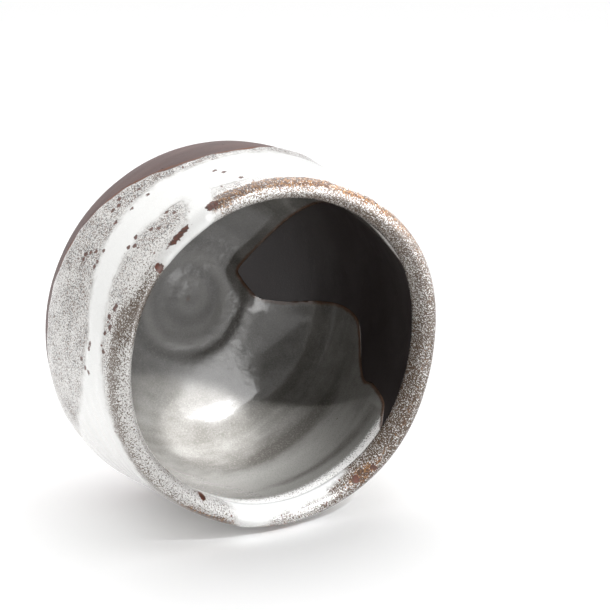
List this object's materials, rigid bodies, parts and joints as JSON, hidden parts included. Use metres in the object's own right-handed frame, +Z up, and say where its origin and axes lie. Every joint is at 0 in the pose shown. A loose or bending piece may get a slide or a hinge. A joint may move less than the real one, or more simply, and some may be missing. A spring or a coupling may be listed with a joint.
{
  "type": "matcha bowl",
  "caption": "Hand-thrown stoneware tea bowl with an uneven lip, a turned foot ring, a speckled dip glaze, a white poured band and a grey lining with a bare window.",
  "frame": {"origin": "centre of the foot ring's underside, on the surface that the bowl stands on", "axes": "+Z up along the throwing axis to the mouth; +X towards the runner side of the white pour"},
  "size_m": [0.1215, 0.1202, 0.0841],
  "materials": {
    "bare_clay": "satin, iron-rich stoneware, unglazed",
    "grey_glaze": "high gloss over throwing rings",
    "speckled_glaze": "gloss with fine grey and brown speckle",
    "white_glaze": "thick gloss with a few iron specks"
  },
  "bodies": {
    "root": {"clay_body": "bare_clay", "foot_ring": "bare_clay", "inner_glaze": "grey_glaze", "outer_glaze": "speckled_glaze", "white_glaze_pour": "white_glaze"}
  },
  "joints": []
}
